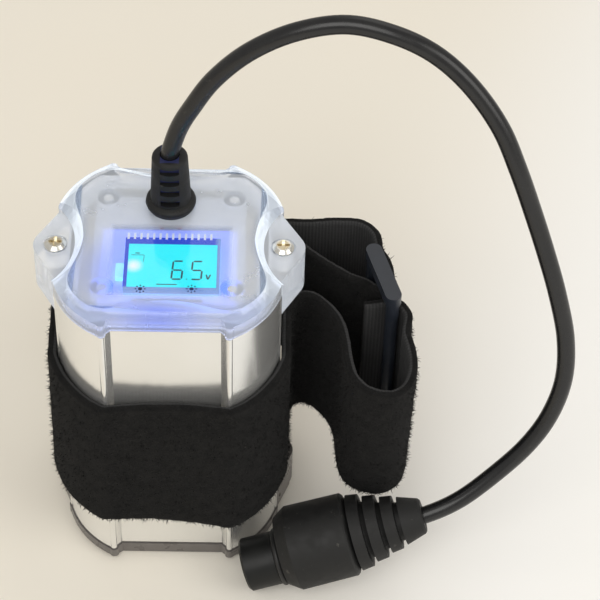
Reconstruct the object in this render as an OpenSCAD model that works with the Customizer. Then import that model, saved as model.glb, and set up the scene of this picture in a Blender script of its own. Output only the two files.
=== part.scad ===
// Strap-on battery pack for a cap lamp: four round cells in a lobed extrusion,
// clear end caps, a voltage display under the upper cap, a short lead with a plug,
// and a hook-and-loop strap with a ring. Millimetres, base centre at the origin, front at -Y.

/* [Cells] */
// Diameter of a sleeved cell
cell_d = 18.4; // [18:0.1:22.2]
// Length of a cell over its button
cell_len = 65.2; // [60:0.1:65.2]
// Room between the cells across the front
cell_room_x = 0.2; // [0.2:0.1:1.4]
// Room between the cells front to back
cell_room_y = 0.8; // [0.2:0.1:1.4]
// Gap between a cell and the flat walls
cell_gap = 0.25; // [0.2:0.05:0.6]

/* [Case extrusion] */
// Length of the extrusion
case_len = 68; // [68:0.5:90]
// Distance of the ridges outside a cell
ridge_out = 4; // [3.6:0.1:4.4]
// Room between a cell and the middle of its lobe
lobe_room = 1.5; // [1.2:0.1:1.8]
// Wall of a lobe
lobe_wall = 1.6; // [1.4:0.1:2]
// Wall of the recessed flat panels
panel_wall = 1.5; // [1.2:0.1:2]
// Flat width of the front and back panels
front_flat = 21.6; // [18:0.2:22]
// Flat width of the side panels
side_flat = 16; // [14:0.2:17]
// Radius of the rounded nose along each ridge
ridge_bead_r = 0.7; // [0.5:0.05:0.9]
// Distance of a screw channel outside the side panel
channel_out = 2.55; // [2.2:0.05:3.4]
// Outer radius of a screw channel
channel_r = 2; // [1.8:0.1:2.3]
// Radius of a cap screw's shank
screw_r = 1.25; // [1:0.05:1.5]
// Radius of a cap screw's head
screw_head_r = 2.2; // [1.9:0.05:2.4]
// Length of a cap screw under its head
screw_len = 7; // [5.5:0.5:7.5]

/* [Caps] */
// How far a cap stands proud of the case
cap_overhang = 0.25; // [0.1:0.05:0.5]
// Height of the upper cap's straight wall
skirt_h = 3.3; // [3:0.1:5]
// Height of the upper cap's bevel
bevel_h = 1.5; // [1:0.1:2]
// Width of the upper cap's bevel
bevel_in = 3; // [2:0.1:3.2]
// Thickness of the upper cap's top
cap_top_t = 1.8; // [1.6:0.1:2.2]
// Height of the lower cap's flange
foot_h = 3.1; // [3:0.1:5]
// Floor of the lower cap
foot_floor = 1.8; // [1.5:0.1:2]
// Height of a screw ear
ear_h = 10; // [9.5:0.5:14]
// Outer radius of the upper cap's screw ears
ear_r = 4.4; // [4:0.1:5]
// Outer radius of the lower cap's screw ears
foot_ear_r = 3.2; // [3:0.1:4.4]
// Drop from the upper cap's shoulder to its ears
ear_drop = 0.7; // [0.4:0.1:1]
// Thickness of each gasket
gasket_t = 0.4; // [0.3:0.1:0.8]
// Height of the locating lips inside the case
lip_h = 2.4; // [1.5:0.1:3]
// Clearance of caps, lips and ears round the case
cap_gap = 0.15; // [0.1:0.05:0.3]

/* [Display] */
// Width of the display board
board_w = 30.4; // [28:0.2:31]
// Depth of the display board
board_d = 29.6; // [28:0.2:31]
// Thickness of the display board
board_t = 1.2; // [0.8:0.1:1.6]
// Room for the display between the board and the cap's top
boss_h = 2.3; // [2.3:0.1:2.6]
// Distance of the board screws from the edges of the board
boss_inset = 2.4; // [2:0.1:3]
// Width of the display glass
glass_w = 19; // [16:0.1:19.2]
// Depth of the display glass
glass_d = 14.2; // [11:0.1:14.8]
// Thickness of the display glass
glass_t = 1.2; // [0.8:0.1:1.3]
// Thickness of the backlight plate
light_t = 0.9; // [0.6:0.1:1]
// Pins along the display's back edge
pin_count = 14; // [8:1:14]
// Pitch of those pins
pin_pitch = 1.27; // [1:0.01:1.3]

/* [Lead and plug] */
// Diameter of the lead
lead_d = 3.7; // [3:0.1:4.5]
// Distance of the lead behind the pack axis
gland_y = 9.6; // [9.4:0.1:11]
// Height of the strain relief above the cap
gland_h = 13.9; // [12:0.1:14.5]
// Radius of the strain relief's collar
gland_collar_r = 5.1; // [4.6:0.1:5.5]
// Radius of the plug's nose
nose_r = 5.75; // [5.2:0.05:6]
// Length of the plug's nose
nose_len = 8.6; // [7:0.1:9]
// Radius of the plug's moulded body
boot_r = 9.1; // [8.4:0.1:9.2]
// Length of the whole plug
plug_len = 39.8; // [39:0.1:42]
// Rise of the plug towards its tail, in degrees
plug_rise = 16; // [15:0.5:17]
// How far the nose sits below the middle of the boot
nose_drop = 1.8; // [0:0.1:2]

/* [Strap] */
// Width of the strap
strap_w = 34.5; // [30:0.5:34.5]
// Thickness of the strap
strap_t = 1.8; // [1.2:0.1:2.2]
// Gap between the strap and what it passes round
strap_gap = 0.35; // [0.3:0.05:0.6]
// Height of the strap's upper edge at the front of the case
strap_top_front = 52; // [46:0.5:54]
// Rise of that edge from the front of the case to its back
strap_rise = 6.2; // [5:0.1:7]
// Distance between the two long bars of the ring
ring_pitch = 13.3; // [12.5:0.1:14]
// Radius of a long bar
ring_bar_r = 1.4; // [1.2:0.05:1.4]
// Radius at the ends of the ring's short sides
ring_end_r = 1.7; // [1.5:0.1:1.8]
// Thickness of the ring's short sides
ring_end_t = 2.5; // [2:0.1:3]

/* [Hidden] */
$fn = 64;
round_fn = 32;
cut = 1;
flush = 0.05;
cell_pitch_x = cell_d + cell_room_x;
cell_pitch_y = cell_d + cell_room_y;
cx = cell_pitch_x / 2;
cy = cell_pitch_y / 2;
panel_in_x = cx + cell_d / 2 + cell_gap;
panel_in_y = cy + cell_d / 2 + cell_gap;
panel_out_x = panel_in_x + panel_wall;
panel_out_y = panel_in_y + panel_wall;
ridge_r = cell_d / 2 + ridge_out;
channel_x = panel_out_x + channel_out;
sides = [-1, 1];

// Ridges beside the panels, from the middle of a cell
function ridge_step(a, b, r) = (-(a + b) + sqrt((a + b) ^ 2 - 2 * (a ^ 2 + b ^ 2 - r ^ 2))) / 2;
front_step = ridge_step(front_flat / 2 - cx, panel_out_y - cy, ridge_r);
side_step = ridge_step(panel_out_x - cx, side_flat / 2 - cy, ridge_r);
front_ridge = [front_flat / 2 + front_step - cx, panel_out_y + front_step - cy];
side_ridge = [panel_out_x + side_step - cx, side_flat / 2 + side_step - cy];

// Arc of a lobe's outer wall from ridge to ridge, as far out as the room round the cell asks for
ridge_mid = (front_ridge + side_ridge) / 2;
half_chord = norm(front_ridge - side_ridge) / 2;
lobe_bulge = cell_d / 2 + lobe_room + lobe_wall - norm(ridge_mid);
lobe_r = (half_chord ^ 2 + lobe_bulge ^ 2) / (2 * lobe_bulge);
lobe_c = [cx, cy] + ridge_mid + (lobe_bulge - lobe_r) * unit(ridge_mid);
bead_at = ridge_r - ridge_bead_r + 0.15;
front_bead = [cx, cy] + bead_at * unit(front_ridge);
side_bead = [cx, cy] + bead_at * unit(side_ridge);

// Heights of the stack, from the floor up
case_z0 = foot_h + gasket_t;
case_z1 = case_z0 + case_len;
seat_z = case_z1 + gasket_t;
shoulder_z = seat_z + skirt_h;
top_z = shoulder_z + bevel_h;
roof_z = top_z - cap_top_t;
ear_top_z = shoulder_z - ear_drop;
foot_ear_z = 1.6;
strip_t = 0.3;
cell_z0 = foot_h;
cell_z1 = cell_z0 + cell_len;
card_t = 0.4;
card_z = cell_z1 + strip_t;
board_z1 = roof_z - boss_h;
board_z0 = board_z1 - board_t;

// Screws and their holes
channel_hole_r = screw_r + 0.05;
ear_hole_r = screw_r + 0.15;
counterbore_r = screw_head_r + 0.3;
counterbore_h = 0.6;
head_h = 1.3;
channel_neck = 2.4;
ear_floor = 1.2;
rib_len = ear_h + ear_drop - skirt_h - gasket_t - ear_floor - 0.3;
scallop_x = channel_x + 11.2;
scallop_r0 = 15.1;
scallop_h = 3;
scallop_r1 = scallop_r0 + scallop_h;
scallop_wall = 1.8;
ear_base_y = side_flat / 2 + 1.6;
ear_base_x = panel_out_x + 2;
boss_r = 2.3;
boss_x = board_w / 2 - boss_inset;
boss_y = board_d / 2 - boss_inset;
board_screw_r = 0.95;
board_screw_bite = 1.6;

// Display stack
glass_c = [0.8, -5.9];
light_z1 = board_z1 + light_t;
glass_z1 = light_z1 + glass_t;
pin_y = glass_c[1] + glass_d / 2 + 0.8;
led_w = 1.6;

// Strain relief and lead
lead_r = lead_d / 2;
lead_bore_r = lead_r + 0.15;
gland_hole_r = lead_bore_r + 1.7;
gland_neck_r = gland_hole_r - 0.1;
gland_z1 = top_z + gland_h;
lead_start_z = gland_z1 - 8;
core_r = 0.5;
route_axis = [0.3, 1, 0.1];

// Plug, measured along its axis from the tip of the nose
lead_stop = 31;
plug_heading = 6.5;
plug_tip = [16, -28, nose_r * cos(plug_rise) + flush];
plug_dir = [cos(plug_rise) * cos(plug_heading), cos(plug_rise) * sin(plug_heading), sin(plug_rise)];
plug_up = [-sin(plug_rise) * cos(plug_heading), -sin(plug_rise) * sin(plug_heading), cos(plug_rise)];
function plug_point(s) = plug_tip + s * plug_dir + nose_drop * plug_up;
stem_r = nose_r - 0.6;
stem_len = 17;
boot_s0 = nose_len + 0.1;
boot_s1 = 23.8;
socket_r = 2.9;
socket_len = 10;
contact_r = 1.05;
seal_r = 0.65;
seal_s = nose_len - 0.8;

// The lead's route, from inside the strain relief over to the plug's tail
lead_route = [
    [0, gland_y, lead_start_z], [0, gland_y, 87], [0, gland_y, 90.5], [0.4, gland_y, 92.5], [2, 10, 97.5],
    [4.4, 10, 102.5], [8.8, 10, 110], [15.5, 9.5, 117.5], [24, 9, 123], [33.5, 8.5, 125.5], [42.5, 7, 124.5],
    [50.5, 5.5, 121], [57.5, 3.5, 115], [63.5, 1, 107], [67.5, -1.5, 98.5], [71, -3.5, 89.5], [74.5, -6, 80],
    [77.5, -8.5, 71], [80, -11, 61], [80.5, -13.5, 51.5], [78.5, -15.5, 42.5], [74.5, -17.5, 35],
    [68.5, -19.5, 28], [61, -22, 21.7], plug_point(plug_len), plug_point(lead_stop)
];

// Strap: its middle runs round the ridges and lobes of the case, and dips between the front ridges
strap_mid = strap_gap + strap_t / 2;
bend_r = ridge_bead_r + strap_mid;
wrap_x = side_bead[0] + bend_r;
wrap_y = front_bead[1] + bend_r;
front_dip = 0.9;
to_front = front_bead - lobe_c;
to_side = side_bead - lobe_c;
lobe_a0 = atan2(to_front[1], to_front[0]);
lobe_a1 = atan2(to_side[1], to_side[0]);
function arc(c, r0, r1, a0, a1, n) = [for (k = [0 : n]) let (a = a0 + (a1 - a0) * k / n)
    c + (r0 + (r1 - r0) * k / n) * [cos(a), sin(a)]];
quarter = concat(arc(front_bead, bend_r, bend_r, 90, lobe_a0, 3),
    arc(lobe_c, norm(to_front) + bend_r, norm(to_side) + bend_r, lobe_a0 - 8, lobe_a1 + 8, 4),
    arc(side_bead, bend_r, bend_r, lobe_a1, 0, 3));
function quarter_at(sx, sy) = [for (p = quarter) [sx * p[0], sy * p[1]]];
function reversed(p) = [for (i = [len(p) - 1 : -1 : 0]) p[i]];
front_run = [for (k = [-3 : 3]) [k / 4 * front_bead[0], front_dip * (1 - (k / 4) ^ 2) - wrap_y]];
function edge_z(y) = strap_top_front + strap_rise * (y + wrap_y) / (2 * wrap_y);

// Points beside the case: by the strap's outer faces there, or by its side face and the pack axis
function corner(x, y) = [wrap_x + x, wrap_y + y];
function beside(x, y) = [wrap_x + x, y];

// Ring: its sewn bar, and the directions along and across it
ring_bar = corner(18.1, -10.1);
ring_heading = -74;
ring_dir = [cos(ring_heading), sin(ring_heading)];
ring_side = [-ring_dir[1], ring_dir[0]];
ring_front = ring_bar + ring_pitch * ring_dir;
bar_mid = ring_bar_r + strap_mid + 0.1;
ring_z0 = edge_z(ring_front[1] - bar_mid) - strap_w - 0.6;
ring_z1 = edge_z(ring_bar[1] + bar_mid) + 0.6;
function at_bar(along, across) = ring_bar + along * ring_dir + across * ring_side;
function at_front(along, across) = ring_front + along * ring_dir + across * ring_side;

// Middle line of the strap in plan, from its sewn end to its free end
flap_y = wrap_y - strap_t - 0.3;
loop_plan = [
    [wrap_x - 7.45, flap_y], [wrap_x - 4.45, flap_y - 0.3], corner(0.4, -4.2), corner(4.3, -7.4),
    corner(7.3, -9.8), corner(10.3, -12.1), corner(13.4, -14), corner(16.5, -15.4),
    at_bar(7.6, -0.4), at_bar(7, 1.4), at_bar(4, bar_mid - 0.3), at_bar(0.5, bar_mid),
    at_bar(-2.6, bar_mid - 0.6), corner(19.2, -5), corner(18.6, -2.6), corner(17, -0.7),
    corner(14.5, 0.4), corner(10.6, 0.45), corner(5.1, 0)
];
wrap_plan = concat([corner(5.1, 0), [front_bead[0], wrap_y]], quarter_at(-1, 1), reversed(quarter_at(-1, -1)),
    front_run, quarter_at(1, -1), [beside(0, -4), beside(0, 0)]);
tail_plan = [
    beside(0, 0), beside(0.3, 2.4), beside(1.6, 4.4), beside(3.55, 5.2), beside(5.55, 4.8), beside(7.45, 3.4),
    beside(9.05, 1.6), beside(10.55, -0.7), beside(11.55, -3.5), beside(12.15, -7), beside(12.65, -11),
    beside(13.75, -15), beside(15.95, -17.7), beside(18.95, -19), beside(22.05, -18.9), beside(24.35, -17.1),
    beside(25.65, -14), beside(25.85, -10.5), beside(25.35, -7.3), beside(24.65, -4),
    at_front(2, bar_mid + 0.2), at_front(0, bar_mid), at_front(-1.9, bar_mid - 0.8), at_front(-bar_mid, 0),
    at_front(-bar_mid - 0.2, -2.5), at_front(-bar_mid - 0.5, -5)
];
loop_line = smooth(loop_plan, 3);
strap_line = concat(loop_line, [for (i = [1 : len(wrap_plan) - 2]) wrap_plan[i]], smooth(tail_plan, 3));
wrap_first = len(loop_line) - 1;
wrap_last = wrap_first + len(wrap_plan) - 1;

// How far the lower edge stands off for each millimetre in front of the pack axis: a plan direction
// at the axis, and how it changes for each millimetre across
wrap_lean = [[-0.055, -0.075], [0.0028, -0.003]];
tail_lean = [[-0.05, 0.1], [0, 0]];

// Sweeps along a list of points
function unit(v) = v / norm(v);
function tangent(p, i) = unit(p[min(i + 1, len(p) - 1)] - p[max(i - 1, 0)]);
function spline_at(a, b, c, d, t) = 0.5 * (2 * b + (c - a) * t + (2 * a - 5 * b + 4 * c - d) * t * t
    + (3 * b - a - 3 * c + d) * t * t * t);
function smooth(p, n) = concat([for (i = [0 : len(p) - 2], k = [0 : n - 1])
    spline_at(p[max(i - 1, 0)], p[i], p[i + 1], p[min(i + 2, len(p) - 1)], k / n)], [p[len(p) - 1]]);
function flat_side(p, i) = let (t = tangent(p, i)) [-t[1], t[0], 0];
function tube_side(p, i) = unit(cross(tangent(p, i), route_axis));

// Faces of a sweep whose rings have n points each
module swept(rings, n) {
    count = len(rings);
    walls = [for (i = [0 : count - 2], k = [0 : n - 1], half = [0, 1])
        let (a = i * n + k, b = i * n + (k + 1) % n, c = a + n, d = b + n) half == 0 ? [a, b, d] : [a, d, c]];
    ends = [[for (k = [n - 1 : -1 : 0]) k], [for (k = [0 : n - 1]) (count - 1) * n + k]];
    polyhedron(points = [for (ring = rings) each ring], faces = concat(walls, ends), convexity = 10);
}

// A stretch of the strap on edge, from point a to point b of its middle line
module strap(a, b, lean = [[0, 0], [0, 0]]) {
    p = strap_line;
    color([0.13, 0.13, 0.13]) swept([for (i = [a : b])
        let (s = flat_side(p, i) * strap_t / 2, top = [p[i][0], p[i][1], edge_z(p[i][1])],
            shift = max(0, -p[i][1]) * (lean[0] + lean[1] * p[i][0]),
            low = top + [shift[0], shift[1], -strap_w])
        [top - s, top + s, low + s, low - s]], 4);
}

// A round tube of radius r with n sides along p
module tube(p, r, n) {
    swept([for (i = [0 : len(p) - 1]) let (u = tube_side(p, i), v = cross(u, tangent(p, i)))
        [for (k = [0 : n - 1]) p[i] + r * (u * cos(360 * k / n) + v * sin(360 * k / n))]], n);
}

// Flat shapes of the case
module at_lobes() {
    for (sx = sides, sy = sides) translate([sx * cx, sy * cy]) children();
}

// Draws something in each of the four quarters
module quarters() {
    for (sx = sides, sy = sides) scale([sx, sy, 1]) children();
}

// Recess with 45 degree flanks: flat width w at distance y, grown outward by g
module notch(w, y, g) {
    half = w / 2 - g * tan(22.5);
    deep = 6;
    polygon([[-half, y + g], [half, y + g], [half + deep, y + g + deep], [-half - deep, y + g + deep]]);
}

module notches(g) {
    for (side = sides) {
        rotate(side > 0 ? 0 : 180) notch(front_flat, panel_out_y, g);
        rotate(side * 90) notch(side_flat, panel_out_x, g);
    }
}

// Disc of radius r round the middle of a lobe's arc, kept to its quarter
module lobe(r) {
    intersection() {
        translate(lobe_c) circle(r);
        translate([-cut, -cut]) square(3 * ridge_r);
    }
}

// Outline of the lobed case, grown by g
module outline(g = 0) {
    difference() {
        union() {
            quarters() lobe(lobe_r + g);
            square([2 * cx, 2 * (panel_out_y + g)], center = true);
            square([2 * (panel_out_x + g), 2 * cy], center = true);
        }
        notches(g);
    }
    for (sx = sides, sy = sides, bead = [front_bead, side_bead])
        translate([sx * bead[0], sy * bead[1]]) circle(ridge_bead_r + g, $fn = round_fn);
}

// Inside of the case, shrunk by g
module cavity(g = 0) {
    intersection() {
        union() {
            quarters() lobe(lobe_r - lobe_wall - g);
            square([2 * cx, 2 * (panel_in_y - g)], center = true);
            square([2 * (panel_in_x - g), 2 * cy], center = true);
        }
        square([2 * (panel_in_x - g), 2 * (panel_in_y - g)], center = true);
    }
}

// Screw channel rib in a side recess, grown by g; it is milled away between the ears
module channel_rib(g = 0) {
    for (side = sides) {
        translate([side * channel_x, 0]) circle(channel_r + g, $fn = round_fn);
        translate([side * (panel_out_x + channel_x) / 2 - side * cut / 2, 0])
            square([channel_x - panel_out_x + cut, channel_neck + 2 * g], center = true);
    }
}

// Rounded rectangle
module slab(w, d, r) {
    square([w - 2 * r, d], center = true);
    square([w, d - 2 * r], center = true);
    for (sx = sides, sy = sides) translate([sx * (w / 2 - r), sy * (d / 2 - r)]) circle(r, $fn = round_fn);
}

module at_channels() {
    for (side = sides) translate([side * channel_x, 0, 0]) children();
}

module case_extrusion() {
    color("silver") difference() {
        union() {
            translate([0, 0, case_z0]) linear_extrude(case_len) outline();
            translate([0, 0, case_z0]) linear_extrude(rib_len) channel_rib();
            translate([0, 0, case_z1 - rib_len]) linear_extrude(rib_len) channel_rib();
        }
        translate([0, 0, case_z0 - cut]) linear_extrude(case_len + 2 * cut) cavity();
        at_channels() for (z = [case_z0, case_z1 - rib_len])
            translate([0, 0, z - cut]) cylinder(h = rib_len + 2 * cut, r = channel_hole_r);
    }
}

// Plan of the screw ears: a nose of radius r whose flanks run tangent to the case
module ear_plan(r) {
    reach = [ear_base_x - channel_x, ear_base_y];
    touch = atan2(reach[1], reach[0]) - acos(r / norm(reach));
    nose = [channel_x + r * cos(touch), r * sin(touch)];
    root_x = panel_in_x - 2;
    for (side = sides) scale([side, 1]) {
        translate([channel_x, 0]) circle(r);
        polygon([[root_x, -ear_base_y], [ear_base_x, -ear_base_y], [nose[0], -nose[1]], nose,
            [ear_base_x, ear_base_y], [root_x, ear_base_y]]);
    }
}

// Ears of radius r from z0 to z1, cleared for the case from a to b and for its ribs from c to d
module ears(r, z0, z1, a, b, c, d) {
    difference() {
        translate([0, 0, z0]) linear_extrude(z1 - z0) ear_plan(r);
        translate([0, 0, a]) linear_extrude(b - a) outline(cap_gap);
        translate([0, 0, c]) linear_extrude(d - c) channel_rib(cap_gap);
    }
}

// Sloped body of a cap: cones over the lobes, planes from the ridges to the panels, narrower by inset at h
module sloped(h, inset) {
    wide = lobe_r + cap_overhang;
    bead = ridge_bead_r + cap_overhang;
    low = [side_bead[0] + bead, front_bead[1] + bead];
    high = [panel_out_x + cap_overhang - inset, panel_out_y + cap_overhang - inset];
    intersection() {
        quarters() intersection() {
            translate(lobe_c) cylinder(h = h, r1 = wide, r2 = wide - inset);
            translate([-cut, -cut, 0]) cube(3 * ridge_r);
        }
        rotate([90, 0, 90]) translate([0, 0, -2 * ridge_r]) linear_extrude(4 * ridge_r)
            polygon([[-low[1], 0], [low[1], 0], [high[1], h], [-high[1], h]]);
        rotate([90, 0, 0]) translate([0, 0, -2 * ridge_r]) linear_extrude(4 * ridge_r)
            polygon([[-low[0], 0], [low[0], 0], [high[0], h], [-high[0], h]]);
    }
}

// Locating lips: four arcs that enter the lobes of the case
module lips(h) {
    lip_t = 1;
    linear_extrude(h) intersection() {
        difference() {
            cavity(cap_gap);
            cavity(cap_gap + lip_t);
            at_lobes() circle(cell_d / 2 + 0.45);
        }
        quarters() translate([cx, cy]) square(ridge_r);
    }
}

// Plan of the hollows over the ears
module scallops(r) {
    for (side = sides) translate([side * scallop_x, 0]) circle(r);
}

module top_cap() {
    room_z = seat_z + 0.8;
    color([0.82, 0.83, 0.9, 0.6]) difference() {
        union() {
            translate([0, 0, seat_z]) linear_extrude(skirt_h) outline(cap_overhang);
            intersection() {
                translate([0, 0, shoulder_z]) sloped(bevel_h, bevel_in);
                translate([0, 0, seat_z]) linear_extrude(skirt_h + bevel_h) outline(cap_overhang);
            }
            ears(ear_r, ear_top_z - ear_h, shoulder_z, 0, seat_z, case_z1 - rib_len - 0.3, seat_z);
            translate([0, 0, seat_z - lip_h]) lips(lip_h + flush);
        }
        translate([0, 0, seat_z - cut]) linear_extrude(room_z - seat_z + cut) difference() {
            cavity(cap_gap + 1);
            scallops(scallop_r0 + scallop_wall);
        }
        translate([0, 0, room_z - flush]) linear_extrude(roof_z - room_z + flush) difference() {
            cavity(cap_gap + 0.3);
            scallops(scallop_r0 + scallop_wall);
        }
        at_channels() {
            translate([0, 0, ear_top_z - counterbore_h]) cylinder(h = cut + counterbore_h, r = counterbore_r);
            translate([0, 0, seat_z - cut]) cylinder(h = 6, r = ear_hole_r);
        }
        for (side = sides) translate([side * scallop_x, 0, ear_top_z])
            cylinder(h = scallop_h, r1 = scallop_r0, r2 = scallop_r1);
        translate([0, gland_y, roof_z - cut]) cylinder(h = cap_top_t + 2 * cut, r = gland_hole_r);
    }
    color([0.82, 0.83, 0.9, 0.6]) for (sx = sides, sy = sides)
        translate([sx * boss_x, sy * boss_y, board_z1]) difference() {
            cylinder(h = boss_h + flush, r = boss_r);
            translate([0, 0, -cut]) cylinder(h = cut + board_screw_bite + 0.1, r = board_screw_r + 0.05);
        }
}

module bottom_cap() {
    foot_bevel = 1;
    rib_top_z = case_z0 + rib_len + 0.3;
    color([0.55, 0.5, 0.48]) difference() {
        union() {
            translate([0, 0, foot_bevel]) linear_extrude(foot_h - foot_bevel) outline(cap_overhang);
            intersection() {
                translate([0, 0, foot_bevel]) mirror([0, 0, 1]) sloped(foot_bevel, foot_bevel);
                linear_extrude(foot_h) outline(cap_overhang);
            }
            ears(foot_ear_r, foot_ear_z - 0.8, rib_top_z + ear_floor, foot_h, top_z, foot_h, rib_top_z);
            translate([0, 0, foot_h - flush]) lips(lip_h + flush);
        }
        translate([0, 0, foot_floor]) linear_extrude(foot_h) cavity(cap_gap + 1);
        at_channels() {
            translate([0, 0, foot_ear_z - 3]) cylinder(h = 3, r = foot_ear_r + 0.1);
            translate([0, 0, foot_ear_z - cut]) cylinder(h = 6, r = ear_hole_r);
        }
    }
}

module gasket(z) {
    translate([0, 0, z]) linear_extrude(gasket_t) difference() {
        outline(-0.4);
        cavity();
    }
}

module top_gasket() {
    color("lightgray") gasket(case_z1);
}

module bottom_gasket() {
    color("lightgray") gasket(foot_h);
}

// Pan head screw pointing down from z = 0, with a cross recess
module pan_screw(shank_r, length, head_r, h) {
    slot = head_r * 0.28;
    difference() {
        union() {
            cylinder(h = h * 0.55, r = head_r);
            translate([0, 0, h * 0.55]) cylinder(h = h * 0.45, r1 = head_r, r2 = head_r * 0.7);
        }
        for (turn = [0, 90]) rotate(turn) translate([0, 0, h]) cube([head_r * 1.2, slot, h], center = true);
    }
    translate([0, 0, -length]) cylinder(h = length + flush, r = shank_r);
}

module top_screws() {
    color("gainsboro") at_channels() translate([0, 0, ear_top_z - counterbore_h])
        pan_screw(screw_r, screw_len, screw_head_r, head_h);
}

module bottom_screws() {
    color("gainsboro") at_channels() translate([0, 0, foot_ear_z]) mirror([0, 0, 1])
        pan_screw(screw_r, screw_len, screw_head_r, head_h);
}

// Cell standing on z = 0, button up
module cell() {
    r = cell_d / 2;
    button_h = 0.9;
    can_h = cell_len - button_h;
    groove_z = can_h - 3;
    rotate_extrude() polygon([[0, 0], [r - 0.4, 0], [r, 0.4], [r, groove_z - 0.8], [r - 0.7, groove_z],
        [r, groove_z + 0.8], [r, can_h - 0.4], [r - 0.4, can_h], [4, can_h], [4, cell_len], [0, cell_len]]);
}

// The left pair stands button up, the right pair button down
module placed_cell(sx, sy) {
    color("teal") translate([sx * cx, sy * cy, cell_z0]) {
        if (sx < 0) cell();
        if (sx > 0) translate([0, 0, cell_len]) mirror([0, 0, 1]) cell();
    }
}

module pack_sleeve() {
    r = cell_d / 2 + 0.08;
    wall = 0.1;
    color("royalblue") translate([0, 0, cell_z0 + 1]) linear_extrude(cell_len - 2) difference() {
        slab(cell_pitch_x + 2 * (r + wall), cell_pitch_y + 2 * (r + wall), r + wall);
        slab(cell_pitch_x + 2 * r, cell_pitch_y + 2 * r, r);
    }
}

// Strip on one pair of cells, with a tab that stands up to the board
module pair_strip(sx) {
    strip_w = 8;
    tab_w = 4;
    translate([sx * cx, 0, cell_z1]) linear_extrude(strip_t)
        slab(strip_w, cell_pitch_y + strip_w, strip_w / 2 - 0.5);
    translate([sx * cx, 0, (cell_z1 + board_z0) / 2])
        cube([strip_t, tab_w, board_z0 - cell_z1], center = true);
}

module positive_strip() {
    color("gainsboro") pair_strip(-1);
}

module negative_strip() {
    color("gainsboro") pair_strip(1);
}

module series_strip() {
    strip_w = 8;
    color("gainsboro") translate([0, 0, foot_h - strip_t]) linear_extrude(strip_t) {
        for (sx = sides) translate([sx * cx, 0]) slab(strip_w, cell_pitch_y + strip_w, strip_w / 2 - 0.5);
        square([cell_pitch_x, strip_w], center = true);
    }
}

module insulator_card() {
    slot_w = 1.2;
    slot_d = 4.8;
    color("wheat") translate([0, 0, card_z]) linear_extrude(card_t) difference() {
        slab(cell_pitch_x + cell_d - 2, cell_pitch_y + cell_d - 2, cell_d / 2 - 1);
        for (sx = sides) translate([sx * cx, 0]) square([slot_w, slot_d], center = true);
    }
}

module foam_pad() {
    color("dimgray") translate([0, 0, foot_floor]) linear_extrude(foot_h - strip_t - foot_floor)
        slab(cell_pitch_x + cell_d - 2, cell_pitch_y + cell_d - 2, cell_d / 2 - 1);
}

module display_board() {
    corner_r = 2;
    color("lavender") translate([0, 0, board_z0]) difference() {
        linear_extrude(board_t) slab(board_w, board_d, corner_r);
        for (sx = sides, sy = sides) translate([sx * boss_x, sy * boss_y, -cut])
            cylinder(h = board_t + 2 * cut, r = board_screw_r + 0.15, $fn = round_fn);
    }
}

// Protection circuit under the board: two power transistors, a controller and two resistors
module board_parts() {
    chips = [[-4, 6, 5, 4, 1.2], [4, 6, 5, 4, 1.2], [0, -3, 4, 3, 1],
        [-3, -8, 2, 1.2, 0.6], [3, -8, 2, 1.2, 0.6]];
    color("black") for (chip = chips) translate([chip[0], chip[1], board_z0 - chip[4] / 2])
        cube([chip[2], chip[3], chip[4]], center = true);
}

module board_screws() {
    color("gainsboro") for (sx = sides, sy = sides) translate([sx * boss_x, sy * boss_y, board_z0])
        mirror([0, 0, 1]) pan_screw(board_screw_r, board_t + board_screw_bite, 1.75, 1);
}

module backlight_plate() {
    color("aliceblue") translate([glass_c[0], glass_c[1], board_z1]) linear_extrude(light_t)
        slab(glass_w, glass_d - 0.8, 0.5);
}

module backlight_led() {
    led_x = glass_c[0] - glass_w / 2 - led_w / 2 - 0.1;
    color("white") translate([led_x, glass_c[1] - 1, board_z1]) linear_extrude(light_t) slab(led_w, 4, 0.3);
}

module lcd_glass() {
    color("cyan") translate([glass_c[0], glass_c[1], light_z1]) linear_extrude(glass_t)
        slab(glass_w, glass_d, 0.3);
}

// Flat pins that stand on the board and hook over the edge of the glass
module lcd_pins() {
    pin_w = 0.45;
    leaf_t = 0.14;
    tongue = 1.6;
    color("gainsboro") for (k = [0 : pin_count - 1])
        translate([glass_c[0] + (k - (pin_count - 1) / 2) * pin_pitch - 0.7, pin_y, 0]) {
            translate([-pin_w / 2, 0, board_z1]) cube([pin_w, 0.3, glass_z1 + leaf_t - board_z1]);
            translate([-pin_w / 2, 0.3 - tongue, glass_z1]) cube([pin_w, tongue, leaf_t]);
        }
}

module touch_pad() {
    pad_w = 14;
    pad_d = 0.8;
    pad_t = 0.2;
    color("peru") translate([0, pad_d - board_d / 2, board_z1]) linear_extrude(pad_t)
        slab(pad_w, pad_d, pad_d / 2 - 0.1);
}

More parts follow.
